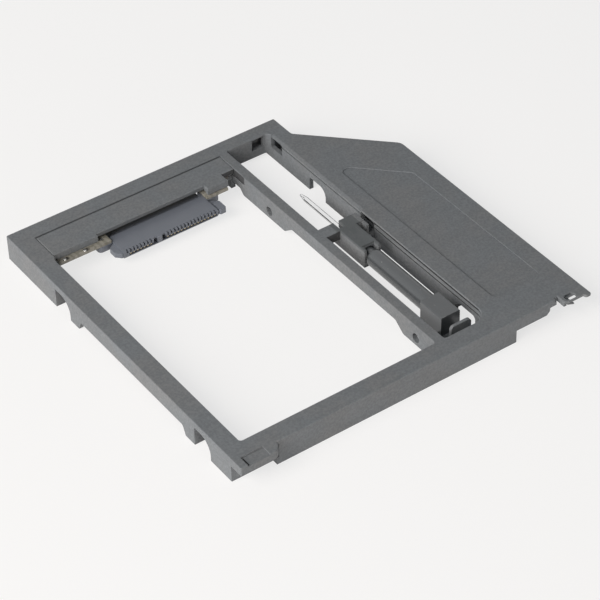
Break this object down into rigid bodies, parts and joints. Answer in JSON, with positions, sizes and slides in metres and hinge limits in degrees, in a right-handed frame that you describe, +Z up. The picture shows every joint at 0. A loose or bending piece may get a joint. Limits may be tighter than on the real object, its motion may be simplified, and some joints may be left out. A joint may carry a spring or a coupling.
{
  "type": "drive bay adapter bracket",
  "caption": "Open moulded caddy frame with a drive receptacle, a slim host plug, a wing and a stored screwdriver, for fitting a 2.5 inch drive in a slim optical bay.",
  "frame": {"origin": "middle of the bracket's outline, at the height of its feet", "axes": "+X across the bay from the plain side skirt to the wing, +Y from the bezel end to the connector end, +Z up through the flat top face"},
  "size_m": [0.128, 0.131, 0.009],
  "materials": {
    "moulded_grey": "finely textured matt",
    "board": "solder mask, satin",
    "screw_steel": "zinc plated",
    "solder": "bright tin",
    "ceramic": "fired ceramic",
    "plug_plastic": "moulded, satin",
    "host_plastic": "moulded, satin",
    "contact_gold": "gold flash",
    "handle_grey": "moulded, satin",
    "driver_steel": "nickel plated"
  },
  "bodies": {
    "root": {"caddy_frame": "moulded_grey", "connector_cover": "moulded_grey", "adapter_board": "board", "board_screws": "screw_steel", "solder_beads": "solder", "supply_capacitors": "ceramic", "drive_plug_housing": "plug_plastic", "drive_signal_contacts": "contact_gold", "drive_power_contacts": "contact_gold", "drive_plug_pegs": "solder", "host_plug_housing": "host_plastic", "host_signal_contacts": "contact_gold", "host_power_contacts": "contact_gold", "driver_handle": "handle_grey", "driver_shaft": "driver_steel"}
  },
  "joints": []
}
